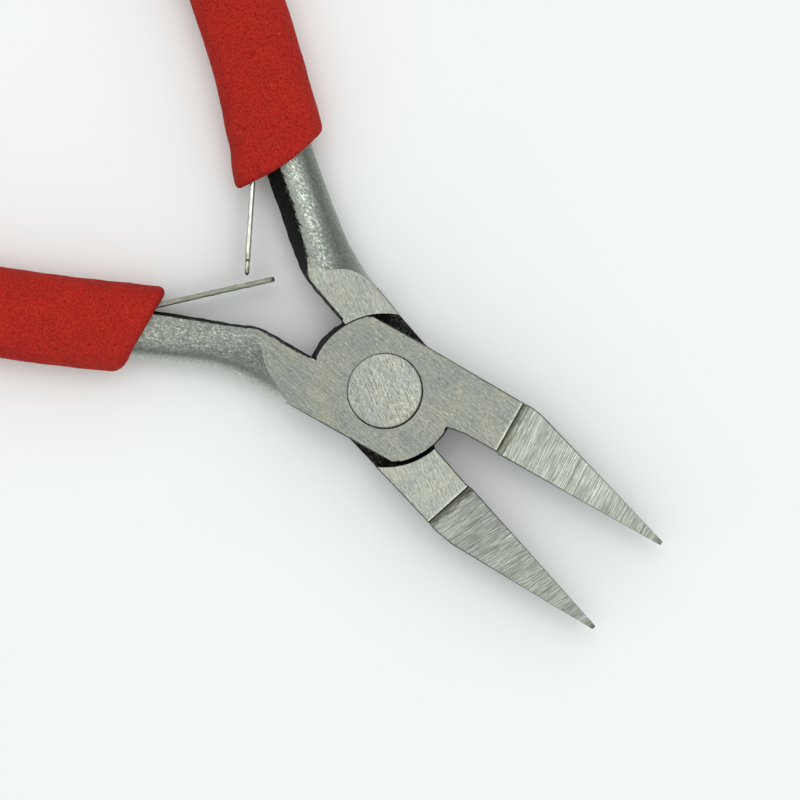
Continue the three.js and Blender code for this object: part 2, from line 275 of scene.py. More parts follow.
REAR = Side(
    name="rear",
    handle_inner=[(-7, -1.55), (-14.4, -1.7), (-17.9, -2.7), (-22, -4.45), (-26, -6.1),
                  (-42.1, -13.7), (-61.7, -20.9), (-79, -22.7)],
    handle_outer=[(4, -6.6), (-5, -6.75), (-9.9, -7), (-13.9, -7.65), (-17.7, -8.9), (-21.3, -10.3),
                  (-25, -11.85), (-42.1, -19.8), (-61.7, -26.9), (-79, -28.5)],
    wall=[(-8.2, 0.33), (-14.2, 0.35), (-16.7, 1.3), (-19.4, 1.65), (-25.6, 1.75), (-30, 1.75)],
    flat_share=[(-8.9, 0.97), (-10.4, 0.93), (-12.3, 0.75), (-15.2, 0.09), (-15.7, 0.02)],
    roundness=[(-10, 1.2), (-14, 1.3), (-20, 1.8), (-27, 2)],
    bar_side=6.4,
    root_side=6.05,
    relief=[(8.3, 0.12)],
    mouth_x=-25.57,
    mouth_tilt=math.radians(7.7),
    mouth_bulge=0.6,
    mouth_flare=0.6,
    mouth_lip=0.75,
    mouth_slot=2.1,
    bend_x=-29.5,
    spring_tip=(-19.55, 2.79),
    spring_corner=0.13,
    spring_burrs=0.02,
    spring_colour=(0.42, 0.425, 0.39),
    spring_gloss=0.28,
    spring_tones=[(-20.6, 1), (-20.3, (0.6, 0.57, 0.5)), (-20.0, (1, 0.97, 0.9)), (-19.5, 0.8),
                  (-19.2, (0.45, 0.42, 0.34)), (-18.4, 0.25)],
    tongue=True,
    face_streaks=math.radians(17),
    jaw_streaks=math.radians(98.9),
    shank_streaks=math.radians(-9),
    # The face's last tone is a painted highlight along the step's edge
    face_tones_and_edge_highlight=[(-15, 1.1), (-9, 1.05), (8, 1.14), (13.45, 1.17), (13.6, 1.7)],
    # Painted light along the jaw
    jaw_painted_light=[(15, 1.02), (25, 1.1), (33, 1.15), (34.4, 0.5)],
    # Painted light and shade across the shank
    shank_painted_shading=[(0.03, 1.3), (0.2, 1.65), (0.35, 2.2), (0.5, 1.8), (0.75, 0.92), (1, 1.5)],
    # Painted glints across the shank
    painted_glint_band=[(0.1, 0), (0.25, 1), (0.45, 1), (0.62, 0.1), (0.9, 0.1), (1, 0.5)],
    raggedness=2.2,
)


# Curves and meshes


def curve(points):
    """A smooth y(x) through points, which never swings past them and stays level beyond the ends."""
    xs, ys = np.array(sorted(points), float).T
    steps = np.diff(ys) / np.diff(xs)
    slopes = np.zeros(len(xs))
    for i in range(1, len(xs) - 1):
        if steps[i - 1] * steps[i] > 0:
            slopes[i] = 2 * steps[i - 1] * steps[i] / (steps[i - 1] + steps[i])

    def value(x):
        x = min(max(x, xs[0]), xs[-1])
        i = min(max(int(np.searchsorted(xs, x)) - 1, 0), len(steps) - 1)
        length = xs[i + 1] - xs[i]
        t = (x - xs[i]) / length
        start = (1 + 2 * t) * (1 - t) ** 2 * ys[i] + t * (1 - t) ** 2 * length * slopes[i]
        end = t * t * (3 - 2 * t) * ys[i + 1] + t * t * (t - 1) * length * slopes[i + 1]
        return start + end

    return value


def smoothstep(low, high, x):
    t = min(max((x - low) / (high - low), 0), 1)
    return t * t * (3 - 2 * t)


def arc(radius, start, end, steps, centre=(0, 0)):
    """Points on a circle. Start and end are angles in degrees."""
    angles = np.radians(np.linspace(start, end, steps + 1))
    return [(centre[0] + radius * math.cos(a), centre[1] + radius * math.sin(a)) for a in angles]


def circle(radius, count=120):
    return arc(radius, 0, 360 - 360 / count, count - 1)


def rough(x, y=0, z=0, size=1.0):
    """Smooth noise of about one bump per size, from -1 to 1."""
    return noise.noise(Vector((x, y, z)) / size)


def make_object(name, points, faces):
    mesh = bpy.data.meshes.new(name)
    mesh.from_pydata([Vector(p) * MM for p in points], [], faces)
    obj = bpy.data.objects.new(name, mesh)
    bpy.context.scene.collection.objects.link(obj)
    face_outwards(obj)
    return obj


def face_outwards(obj):
    bm = bmesh.new()
    bm.from_mesh(obj.data)
    bmesh.ops.recalc_face_normals(bm, faces=bm.faces)
    bm.to_mesh(obj.data)
    bm.free()


def loft(name, rings):
    """A closed solid through rings of points, which all have the same number of points."""
    count = len(rings[0])
    points = [p for ring in rings for p in ring]
    faces = []
    for r in range(len(rings) - 1):
        for i in range(count):
            j = (i + 1) % count
            faces.append((r * count + i, r * count + j, (r + 1) * count + j, (r + 1) * count + i))
    faces.append(tuple(range(count)))
    faces.append(tuple(range(len(points) - count, len(points))))
    return make_object(name, points, faces)


def prism(name, outline, low, high):
    return loft(name, [[(x, y, low) for x, y in outline], [(x, y, high) for x, y in outline]])


def side_prism(name, outline, low, high):
    """A prism across the lever: outline is in x and z."""
    return loft(name, [[(x, low, z) for x, z in outline], [(x, high, z) for x, z in outline]])


def apply_modifiers(obj):
    depsgraph = bpy.context.evaluated_depsgraph_get()
    before = obj.data
    obj.data = bpy.data.meshes.new_from_object(obj.evaluated_get(depsgraph))
    obj.modifiers.clear()
    bpy.data.meshes.remove(before)


def combine(target, tool, operation):
    """Cut or join target with tool, which is used up."""
    modifier = target.modifiers.new("combine", "BOOLEAN")
    modifier.operation = operation
    modifier.object = tool
    modifier.solver = "MANIFOLD"
    apply_modifiers(target)
    bpy.data.objects.remove(tool)


def merge_flat_faces(obj):
    bm = bmesh.new()
    bm.from_mesh(obj.data)
    bmesh.ops.remove_doubles(bm, verts=bm.verts, dist=SMALLEST_EDGE * MM)
    bmesh.ops.dissolve_limit(bm, angle_limit=math.radians(0.3), verts=bm.verts, edges=bm.edges)
    bm.to_mesh(obj.data)
    bm.free()


def round_level_edges(obj, width):
    """Round the edges between level or nearly level faces and upright sides, but not at the tip."""
    bm = bmesh.new()
    bm.from_mesh(obj.data)
    weights = bm.edges.layers.float.new("bevel_weight_edge")
    tip_x = (JAW_TIP_X - TIP_UNROUNDED) * MM
    for edge in bm.edges:
        levels = sorted(abs(face.normal.z) for face in edge.link_faces)
        at_tip = min(vertex.co.x for vertex in edge.verts) > tip_x
        if levels[0] < 0.1 and levels[-1] > 0.9 and not at_tip:
            edge[weights] = 1
    bm.to_mesh(obj.data)
    bm.free()
    modifier = obj.modifiers.new("round", "BEVEL")
    modifier.width = width * MM
    modifier.segments = 2
    modifier.limit_method = "WEIGHT"
    modifier.use_clamp_overlap = False
    apply_modifiers(obj)


def shade_smooth(obj, angle=30):
    obj.data.shade_smooth()
    obj.data.set_sharp_from_angle(angle=math.radians(angle))


def keep_large_faces_flat(obj):
    """Let only the small faces at rounded edges shade as curved."""
    modifier = obj.modifiers.new("normals", "WEIGHTED_NORMAL")
    modifier.keep_sharp = True
    apply_modifiers(obj)


def lever_place(side):
    turn = Matrix.Rotation(REST_OPENING / 2, 4, "Z")
    if side is FRONT:
        return turn
    flip = Matrix.Translation((0, 0, JOINT_THICKNESS * MM)) @ Matrix.Rotation(math.pi, 4, "X")
    return turn.inverted() @ flip


def far_end(side, piece):
    """Where the CAD piece ends behind the handle, as x in the lever's frame."""
    own = lever_place(side).inverted()
    vertices = frame["nodes"][f"{side.name}_{piece}"].data.vertices
    return min((own @ vertex.co).x for vertex in vertices) / MM


def put_on_lever(obj, side):
    obj.data.transform(lever_place(side))
    return obj


# Levers


def plan_outline(side):
    """The joint and jaw from above, with the handle's root up to PLATE_END_X."""
    inner = curve(side.handle_inner)
    outer = curve(side.handle_outer)
    inner_y = inner(PLATE_END_X)
    disc_end = 180 + math.degrees(math.asin(-inner_y / DISC_RADIUS))
    disc_start = 180 - math.degrees(math.asin(side.bar_side / DISC_RADIUS))
    nose_start = math.degrees(math.asin(outer(0) / NOSE_RADIUS))
    nose_end = math.degrees(math.asin(NOSE_END_Y / NOSE_RADIUS))
    taper_x, taper_y = JAW_TAPER_START
    tip_y = taper_y - (JAW_TIP_X - taper_x) * math.tan(JAW_TAPER)
    tip_x = JAW_TIP_X - JAW_TIP_CORNER
    outline = [(JAW_ROOT_X, side.root_side), (0, side.bar_side)]
    outline += arc(DISC_RADIUS, disc_start, disc_end, 48)
    outline += [(PLATE_END_X, inner_y), (PLATE_END_X, outer(PLATE_END_X))]
    outline += [(NOSE_START_X, outer(NOSE_START_X))]
    outline += arc(NOSE_RADIUS, nose_start, nose_end, 40)
    outline += [*side.relief, (JAW_ROOT_X, FACE_RELIEF), (FACE_START_X, FACE_GAP)]
    outline += arc(JAW_TIP_CORNER, -90, 0, 4, (tip_x, FACE_GAP + JAW_TIP_CORNER))
    outline += arc(JAW_TIP_CORNER, 0, 90 - math.degrees(JAW_TAPER), 4, (tip_x, tip_y - JAW_TIP_INSET))
    outline += [(taper_x, taper_y)]
    outline += [(x, side.root_side + out) for x, out in JAW_SHOULDER]
    return outline


def side_profile():
    """The joint and jaw from the side: level faces, a hollow step at the root, then the taper."""
    top = MID_Z + JAW_ROOT_HALF_THICKNESS
    slope = (JAW_TIP_HALF_THICKNESS - JAW_ROOT_HALF_THICKNESS) / (JAW_TIP_X - JAW_ROOT_X)
    drop = JOINT_THICKNESS - top - slope * STEP_LENGTH
    upper = [(PLATE_END_X - OVERSHOOT, JOINT_THICKNESS), (JAW_ROOT_X, JOINT_THICKNESS)]
    for angle in np.radians(np.linspace(0, 90, 9)):
        x = JAW_ROOT_X + STEP_WALL + (STEP_LENGTH - STEP_WALL) * (1 - math.cos(angle))
        sunk = STEEP_SHARE + (1 - STEEP_SHARE) * math.sin(angle)
        upper.append((x, JOINT_THICKNESS - drop * sunk))
    upper.append((JAW_TIP_X + OVERSHOOT, MID_Z + JAW_TIP_HALF_THICKNESS + slope * OVERSHOOT))
    return upper + [(x, JOINT_THICKNESS - z) for x, z in reversed(upper)]


def slanted_disc(name, upper_radius, lower_radius, start, end):
    """A sector of the disc whose rough edge slants outwards from the face to the middle plane."""
    low = MID_Z + LAYER_GAP / 2
    rings = []
    for share in np.linspace(0, 1, 11):
        z = JOINT_THICKNESS + (low - JOINT_THICKNESS) * share
        ring = [(0, 0, z)]
        for x, y in arc(1, start, end, 96):
            spread = (lower_radius - upper_radius) * share**RIM_CURVE
            spread *= 1 + RIM_ROUGHNESS * rough(x, y, share * 0.3, size=0.13)
            radius = upper_radius + spread
            ring.append((x * radius, y * radius, z))
        rings.append(ring)
    return loft(name, rings)


def pocket(side):
    """The room for the other lever's disc. Its wall slants under the handle's and jaw's shoulders."""
    rings = []
    deep = MID_Z + LAYER_GAP / 2
    for z in (-OVERSHOOT, 0, deep):
        share = z / deep
        handle = HANDLE_SHOULDER_RADIUS + (HANDLE_SHOULDER_FOOT_RADIUS - HANDLE_SHOULDER_RADIUS) * share
        jaw = JAW_SHOULDER_RADIUS + (JAW_SHOULDER_FOOT_RADIUS - JAW_SHOULDER_RADIUS) * share
        around = arc(handle, 90, 270, 96) + arc(jaw, -90, 90, 96)
        rings.append([(x, y, z) for x, y in around])
    return loft(f"{side.name}_pocket", rings)


def shank_section(x, curves):
    """One ring across the handle: the rounded top, the slanting inner wall, and the same below."""
    inner, outer, wall, flat_share, roundness = curves
    half = TANG_HALF_THICKNESS + (MID_Z - TANG_HALF_THICKNESS) * smoothstep(THIN_TO_X, THIN_FROM_X, x)
    edge_y = inner(x) - wall(x)
    width = edge_y - outer(x)
    flat = flat_share(x)
    power = roundness(x)
    height = half / math.sqrt(1 - flat**power)
    upper = []
    for i in range(TOP_STEPS + 1):
        v = flat + (1 - flat) * math.sin(math.pi / 2 * (1 - i / TOP_STEPS))
        upper.append((edge_y - width * v, min(half, height * math.sqrt(max(1 - v**power, 0)))))
    for i in range(1, FLAT_STEPS + 1):
        upper.append((edge_y - width * flat * (1 - i / FLAT_STEPS), half))
    for i in range(1, WALL_STEPS + 1):
        share = i / WALL_STEPS
        bump = WALL_BUMPS * share * rough(x, share * 2, size=0.6)
        upper.append((edge_y + wall(x) * share**WALL_CURVE + bump, half * (1 - share)))
    lower = [(y, -z) for y, z in upper[-2:0:-1]]
    return [(x, y, MID_Z + z) for y, z in upper + lower]


def shank(side):
    curves = [curve(points) for points in
              (side.handle_inner, side.handle_outer, side.wall, side.flat_share, side.roundness)]
    near = np.arange(SHANK_START_X, FINE_TO_X, -FINE_STEP)
    far = np.linspace(FINE_TO_X - 0.5, far_end(side, "lever"), 30)
    return loft(f"{side.name}_shank", [shank_section(x, curves) for x in [*near, *far]])


def lever(side):
    below, above = -OVERSHOOT, JOINT_THICKNESS + OVERSHOOT
    body = prism(f"{side.name}_lever_body", plan_outline(side), below, above)
    combine(body, side_prism("profile", side_profile(), -REACH, REACH), "INTERSECT")
    combine(body, slanted_disc("disc_side", DISC_RADIUS, DISC_FOOT_RADIUS, *DISC_RIM), "UNION")
    combine(body, slanted_disc("nose_side", NOSE_RADIUS, NOSE_FOOT_RADIUS, *NOSE_RIM), "UNION")
    combine(body, shank(side), "UNION")
    combine(body, pocket(side), "DIFFERENCE")
    merge_flat_faces(body)
    round_level_edges(body, EDGE_ROUNDING)
    combine(body, prism("hole", circle(RIVET_HOLE_RADIUS), below, above), "DIFFERENCE")
    shade_smooth(body)
    keep_large_faces_flat(body)
    assign_lever_materials(side, body)
    return put_on_lever(body, side)


# Pivot rivet


def rivet():
    profile = [(RIVET_RADIUS - 3 * RIVET_CHAMFER, 0), (RIVET_RADIUS - RIVET_CHAMFER, RIVET_CROWN),
               (RIVET_RADIUS, RIVET_CHAMFER)]
    profile += [(radius, JOINT_THICKNESS - z) for radius, z in reversed(profile)]
    rings = [[(x, y, z) for x, y in circle(radius)] for radius, z in profile]
    obj = loft("pivot_rivet_body", rings)
    shade_smooth(obj)
    obj.data.transform(Matrix.Translation(Vector((-RIVET_OFFSET, 0, 0)) * MM))
    return obj


# Leaf springs


def spring_line(side):
    """The strip's middle line from its foot's end, along the tang, round the bend and to its tip."""
    inner = curve(side.handle_inner)

    def on_tang(x):
        return Vector((x, inner(x) + SPRING_FOOT_GAP + SPRING_THICKNESS / 2))

    foot = [on_tang(x) for x in np.linspace(SPRING_FOOT_END_X, side.bend_x - 1, 12)]
    bend = on_tang(side.bend_x)
    tip = Vector(side.spring_tip)
    start = foot[-1]
    turned = [start.lerp(bend, t).lerp(bend.lerp(bend + (tip - bend).normalized(), t), t)
              for t in np.linspace(0, 1, 9)]
    after = turned[-1]
    blade = [after.lerp(tip, t) for t in np.linspace(0, 1, 90)[1:]]
    return foot[:-1] + turned + blade


def strip_section(half_thickness, half_width, corner):
    points = []
    for quarter, (sx, sz) in enumerate(((1, 1), (-1, 1), (-1, -1), (1, -1))):
        centre = (sx * (half_thickness - corner), sz * (half_width - corner))
        points += arc(corner, 90 * quarter, 90 * quarter + 90, 3, centre)
    return points


def leaf_spring(side):
    """The strip. Its cut edges carry small burrs, and the rear one narrows to a short tongue."""
    line = spring_line(side)
    lengths = [0]
    for before, after in zip(line, line[1:]):
        lengths.append(lengths[-1] + (after - before).length)
    rings = []
    for i, (point, length) in enumerate(zip(line, lengths)):
        along = (line[min(i + 1, len(line) - 1)] - line[max(i - 1, 0)]).normalized()
        across = Vector((-along.y, along.x))
        left = lengths[-1] - length
        half_thickness = SPRING_THICKNESS / 2
        half_width = SPRING_HALF_WIDTH
        if side.tongue:
            narrow = smoothstep(TONGUE_LENGTH, TONGUE_LENGTH - TONGUE_SHOULDER, left)
            half_width += (TONGUE_HALF_WIDTH - SPRING_HALF_WIDTH) * narrow
            half_thickness += TONGUE_ROUGHNESS * narrow * rough(length, size=0.25)
            half_thickness -= TONGUE_THINNING * narrow
        rounding = 1 - smoothstep(-0.1, SPRING_TIP_LENGTH, left)
        half_thickness -= 1.2 * side.spring_corner * rounding
        half_width -= SPRING_TIP_LENGTH * rounding
        burr = 1 + side.spring_burrs * rough(length, 3, size=0.35)
        rings.append([(point.x + n * across.x, point.y + n * across.y, MID_Z + z)
                      for n, z in strip_section(half_thickness * burr, half_width, side.spring_corner)])
    obj = loft(f"{side.name}_leaf_spring_strip", rings)
    shade_smooth(obj, 50)
    return put_on_lever(obj, side)


# Grips


def rounded_section(half_width, half_thickness, squareness, count=72):
    """Points round an oval, which comes nearer to a rectangle the higher its squareness is."""
    power = 2 / squareness
    points = []
    for angle in np.linspace(0, 2 * math.pi, count, endpoint=False):
        c, s = math.cos(angle), math.sin(angle)
        points.append((half_width * math.copysign(abs(c) ** power, c),
                       half_thickness * math.copysign(abs(s) ** power, s)))
    return points


class TangLine:
    """The middle of a handle's tang, which its grip and the grip's bore follow."""

    def __init__(self, side):
        self.inner = curve(side.handle_inner)
        self.outer = curve(side.handle_outer)

    def y(self, x):
        return (self.inner(x) + self.outer(x)) / 2

    def stretch(self, x):
        """How much longer a cut along y is than a cut square to the line."""
        return math.hypot(1, self.y(x + 0.5) - self.y(x - 0.5))

    def half_width(self, x):
        return (self.inner(x) - self.outer(x)) / 2 / self.stretch(x)


def grip_ring(side, line, x, half_width, half_thickness, squareness, shift, widened):
    """One ring of the grip or its bore. Near the mouth it leans and bulges as the mouth's cut does."""
    upright = lever_place(side)[2][2]  # -1 on the lever that lies turned over
    near_mouth = smoothstep(MID_GRIP_X, side.mouth_x, x)
    points = []
    for across, up in rounded_section(half_width, half_thickness, squareness):
        y = across * line.stretch(x)
        if across > 0:
            y += widened * (across / half_width)
        back = math.tan(side.mouth_tilt) * y + side.mouth_bulge * (across / half_width) ** 2
        back += MOUTH_LEAN * max(MOUTH_LEAN_TOP - up * upright, 0)
        points.append((x - back * near_mouth, line.y(x) + shift + y, MID_Z + up))
    return points


def outer_rings(side, line):
    """The grip's outer surface, from its round end to the lip of its mouth."""
    end_x = far_end(side, "grip") + GRIP_END_GAP
    lip = side.mouth_lip
    rings = []

    def add(x, half_width, half_thickness, squareness):
        flare = side.mouth_flare * smoothstep(FLARE_FROM_X, side.mouth_x - 0.5, x)
        rings.append(grip_ring(side, line, x, half_width, half_thickness, squareness,
                               GRIP_SHIFT, flare))

    for angle in np.linspace(0, math.pi / 2, 14, endpoint=False):
        size = max(math.sin(angle), 0.02)
        add(end_x + GRIP_END_LENGTH * (1 - math.cos(angle)), GRIP_HALF_WIDTH * size,
            GRIP_HALF_THICKNESS * size, GRIP_END_SQUARENESS)
    for x in np.arange(end_x + GRIP_END_LENGTH, side.mouth_x - lip, GRIP_STEP):
        add(x, GRIP_HALF_WIDTH, GRIP_HALF_THICKNESS, GRIP_SQUARENESS)
    for angle in np.linspace(0, math.pi / 2, 9):
        inward = lip * (1 - math.cos(angle))
        add(side.mouth_x - lip + lip * math.sin(angle), GRIP_HALF_WIDTH - inward,
            GRIP_HALF_THICKNESS - inward, GRIP_SQUARENESS)
    return rings


def bore_rings(side, line):
    """The bore from its mouth inwards, wider on the inner side where the leaf spring lies."""
    half_width = line.half_width(MID_GRIP_X) + BORE_GAP
    half_thickness = TANG_HALF_THICKNESS + BORE_GAP
    rings = []
    for depth in BORE_DEPTHS:
        room = side.mouth_slot * (1 - smoothstep(0, MOUTH_SLOT_DEPTH, depth))
        room += FOOT_ROOM * (1 - smoothstep(*FOOT_ROOM_END, depth))
        rings.append(grip_ring(side, line, side.mouth_x - depth, half_width, half_thickness,
                               BORE_SQUARENESS, 0, min(room, side.mouth_slot)))
    return rings


def make_uneven(obj):
    """Move the surface in and out a little, as on soft foam."""
    normals = [vertex.normal.copy() for vertex in obj.data.vertices]
    for vertex, normal in zip(obj.data.vertices, normals):
        place = vertex.co / MM
        swell = sum(height * rough(*place, size=size) for size, height in GRIP_BUMPS)
        vertex.co += normal * (swell - GRIP_SINK) * MM


def grip(side):
    line = TangLine(side)
    obj = loft(f"{side.name}_grip_sleeve", outer_rings(side, line) + bore_rings(side, line))
    make_uneven(obj)
    shade_smooth(obj, 60)
    return put_on_lever(obj, side)


# Materials


def set_stops(color_ramp, stops):
    """Stops are (position from 0 to 1, grey or colour)."""
    while len(color_ramp.elements) < len(stops):
        color_ramp.elements.new(0.5)
    for element, (position, colour) in zip(color_ramp.elements, stops):
        grey = isinstance(colour, (int, float))
        element.position = position
        element.color = (colour, colour, colour, 1) if grey else (*colour, 1)


class Paint:
    """A material's node tree, with a short method for each kind of node that it uses."""

    def __init__(self, name, metallic, roughness, side=None):
        self.material = bpy.data.materials.new(name)
        self.material.use_nodes = True
        self.tree = self.material.node_tree
        self.shader = self.tree.nodes["Principled BSDF"]
        self.shader.inputs["Metallic"].default_value = metallic
        self.shader.inputs["Roughness"].default_value = roughness
        coordinates = self.tree.nodes.new("ShaderNodeTexCoord")
        own = lever_place(side).inverted() if side else Matrix()
        self.place = self.mapped(coordinates.outputs["Object"], (1 / MM,) * 3, own.to_euler(),
                                 own.translation / MM)

    def link(self, source, socket):
        if isinstance(source, bpy.types.NodeSocket):
            self.tree.links.new(source, socket)
        else:
            socket.default_value = source

    def mapped(self, source, scale=(1, 1, 1), turn=(0, 0, 0), shift=(0, 0, 0)):
        mapping = self.tree.nodes.new("ShaderNodeMapping")
        mapping.inputs["Scale"].default_value = scale
        mapping.inputs["Rotation"].default_value = turn
        mapping.inputs["Location"].default_value = shift
        self.link(source, mapping.inputs["Vector"])
        return mapping.outputs["Vector"]

    def streaked(self, direction, along, across):
        """Places stretched so that a texture makes streaks that way. Sizes are in 1/mm."""
        return self.mapped(self.mapped(self.place, turn=(0, 0, -direction)), (along, across, across))

    def noise(self, place, scale=1, detail=3, roughness=0.5):
        node = self.tree.nodes.new("ShaderNodeTexNoise")
        node.inputs["Scale"].default_value = scale
        node.inputs["Detail"].default_value = detail
        node.inputs["Roughness"].default_value = roughness
        self.link(place, node.inputs["Vector"])
        return node.outputs["Fac"]

    def axis(self, letter):
        """One coordinate in mm, in the lever's frame."""
        node = self.tree.nodes.new("ShaderNodeSeparateXYZ")
        self.link(self.place, node.inputs[0])
        return node.outputs[letter]

    def span(self, value, low, high):
        """Value's place between low and high, from 0 to 1."""
        node = self.tree.nodes.new("ShaderNodeMapRange")
        self.link(value, node.inputs["Value"])
        node.inputs["From Min"].default_value = low
        node.inputs["From Max"].default_value = high
        return node.outputs["Result"]

    def profile(self, value, function, low, high, count=24):
        """A Python function of value as a curve node, from low to high."""
        samples = [function(x) for x in np.linspace(low, high, count)]
        bottom, top = min(samples), max(samples)
        node = self.tree.nodes.new("ShaderNodeFloatCurve")
        points = node.mapping.curves[0].points
        while len(points) < count:
            points.new(0.5, 0.5)
        for i, sample in enumerate(samples):
            points[i].location = (i / (count - 1), (sample - bottom) / (top - bottom))
        node.mapping.update()
        self.link(self.span(value, low, high), node.inputs["Value"])
        return self.math("ADD", self.math("MULTIPLY", node.outputs["Value"], top - bottom), bottom)

    def ramp(self, value, stops):
        """Stops are (value, grey or colour)."""
        low, high = stops[0][0], stops[-1][0]
        node = self.tree.nodes.new("ShaderNodeValToRGB")
        set_stops(node.color_ramp, [((at - low) / (high - low), colour) for at, colour in stops])
        self.link(self.span(value, low, high), node.inputs["Fac"])
        return node.outputs["Color"]

    def mix(self, factor, first, second, blend="MIX"):
        node = self.tree.nodes.new("ShaderNodeMix")
        node.data_type = "RGBA"
        node.blend_type = blend
        sockets = [s for s in node.inputs if s.enabled]
        self.link(factor, sockets[0])
        for socket, colour in zip(sockets[1:], (first, second)):
            self.link((*colour, 1) if isinstance(colour, tuple) else colour, socket)
        return [s for s in node.outputs if s.enabled][0]

    def math(self, operation, first, second=0.0):
        node = self.tree.nodes.new("ShaderNodeMath")
        node.operation = operation
        self.link(first, node.inputs[0])
        self.link(second, node.inputs[1])
        return node.outputs[0]

    def sum(self, *weighted):
        """The sum of (value, weight) pairs."""
        total = None
        for value, weight in weighted:
            part = self.math("MULTIPLY", value, weight)
            total = part if total is None else self.math("ADD", total, part)
        return total

    def finish(self, colour, height=None, depth=0.02, roughness=None):
        """Depth is the height's full range in mm."""
        self.link(colour, self.shader.inputs["Base Color"])
        if roughness is not None:
            self.link(roughness, self.shader.inputs["Roughness"])
        if height is not None:
            bump = self.tree.nodes.new("ShaderNodeBump")
            bump.inputs["Distance"].default_value = depth * MM
            self.link(height, bump.inputs["Height"])
            self.link(bump.outputs["Normal"], self.shader.inputs["Normal"])
        return self.material


def shades(colour, dark, light):
    return tuple(c * dark for c in colour), colour, tuple(c * light for c in colour)


STEEL = (0.176, 0.187, 0.166)


def ground_steel(name, side, direction, tones, contrast=1.0, scuffs=0.0):
    """Steel ground on a belt: short fine streaks one way. Tones are (x, brightness); on the joint's
    faces their last stop is a painted highlight along the step's edge.
    """
    paint = Paint(name, 1, 0.3, side)
    fine = paint.noise(paint.streaked(direction, 1.9, 11), detail=4, roughness=0.78)
    long = paint.noise(paint.streaked(direction, 0.3, 5), detail=3, roughness=0.6)
    grain = paint.noise(paint.place, scale=8, detail=3, roughness=0.65)
    mixed = paint.sum((fine, 0.6), (long, 0.2), (grain, 0.2))
    dark, middle, light = shades(STEEL, 1 - 0.5 * contrast, 1 + 0.55 * contrast)
    base = paint.ramp(mixed, [(0.39, dark), (0.5, middle), (0.61, light)])
    patches = paint.noise(paint.place, scale=0.3, detail=3)
    tint = paint.ramp(patches, [(0.38, (0.93, 0.94, 0.96)), (0.66, (1.09, 1.06, 0.99))])
    base = paint.mix(1.0, base, tint, "MULTIPLY")
    # Brightness along x; on the joint's faces it ends in a painted highlight along the step's edge
    base = paint.mix(1.0, base, paint.ramp(paint.axis("X"), tones), "MULTIPLY")
    if scuffs:
        marks = paint.noise(paint.streaked(direction + 1.1, 0.8, 5), detail=3, roughness=0.6)
        where = paint.noise(paint.place, scale=0.35, detail=2)
        mask = paint.math("MULTIPLY", paint.ramp(marks, [(0.55, 0), (0.66, 1)]),
                          paint.ramp(where, [(0.45, 0), (0.62, 1)]))
        mask = paint.math("MULTIPLY", mask, scuffs)
        base = paint.mix(mask, base, (0.12, 0.12, 0.105))
    gloss = paint.ramp(mixed, [(0.39, 0.38), (0.61, 0.24)])
    return paint.finish(base, mixed, 0.03 * contrast, gloss)


def jaw_steel(name, side):
    """The jaw, ground across, and the hollow step at its root, painted lighter over the hollow and then
    with a darker brownish line.
    """
    direction = side.jaw_streaks
    paint = Paint(name, 1, 0.3, side)
    lines = paint.noise(paint.streaked(direction, 0.15, 9), detail=4, roughness=0.85)
    fine = paint.noise(paint.streaked(direction, 0.6, 15), detail=3, roughness=0.7)
    bands = paint.noise(paint.streaked(direction, 0.1, 1), detail=2)
    mixed = paint.sum((lines, 0.45), (fine, 0.45), (bands, 0.1))
    dark, middle, light = shades(STEEL, 0.35, 1.9)
    base = paint.ramp(mixed, [(0.38, dark), (0.5, middle), (0.62, light)])
    # Painted light along the jaw: the front jaw is painted brighter, as it faces the light
    base = paint.mix(1.0, base, paint.ramp(paint.axis("X"), side.jaw_painted_light), "MULTIPLY")
    ragged = paint.noise(paint.streaked(direction, 0.6, 2), detail=4, roughness=0.65)
    along = paint.sum((paint.axis("X"), 1.0), (ragged, 1.6))
    # Bands across the jaw's root, with ragged edges: lighter over the hollow, then a darker brownish
    # line just past it
    hollow = JAW_ROOT_X + 0.8
    root_bands = paint.ramp(along, [(hollow, (0.9, 0.85, 0.74)), (hollow + 0.25, (1.5, 1.44, 1.3)),
                               (hollow + 0.6, (1.0, 0.97, 0.9)), (hollow + 0.8, (0.45, 0.43, 0.38)),
                               (hollow + 1.1, (1, 1, 1))])
    base = paint.mix(1.0, base, root_bands, "MULTIPLY")
    gloss = paint.ramp(mixed, [(0.38, 0.38), (0.62, 0.24)])
    return paint.finish(base, mixed, 0.04, gloss)


def blasted_steel(paint, side, across):
    """The shank's top: its colour, with painted light and shade and painted glints across it, and its
    grain as a height. Across is 0 at the arris, 1 outside.
    """
    sparkle = paint.noise(paint.streaked(side.shank_streaks, 2.2, 7), detail=4, roughness=0.75)
    pits = paint.noise(paint.place, scale=3, detail=3)
    mixed = paint.sum((sparkle, 0.7), (pits, 0.3))
    dark, middle, light = shades(STEEL, 0.75, 1.35)
    calm = paint.ramp(mixed, [(0.38, dark), (0.5, middle), (0.62, light)])
    # A much brighter copy of the grain: painted glints, used in the band where the crest catches the
    # light
    dark, middle, light = shades(STEEL, 0.7, 3.2)
    glinting = paint.ramp(mixed, [(0.4, dark), (0.5, middle), (0.64, light)])
    steel = paint.mix(paint.ramp(across, side.painted_glint_band), calm, glinting)
    # Painted light and shade across the shank: lighter where it catches the light, a darker band, a
    # lighter outer rim
    return paint.mix(1.0, steel, paint.ramp(across, side.shank_painted_shading), "MULTIPLY"), mixed


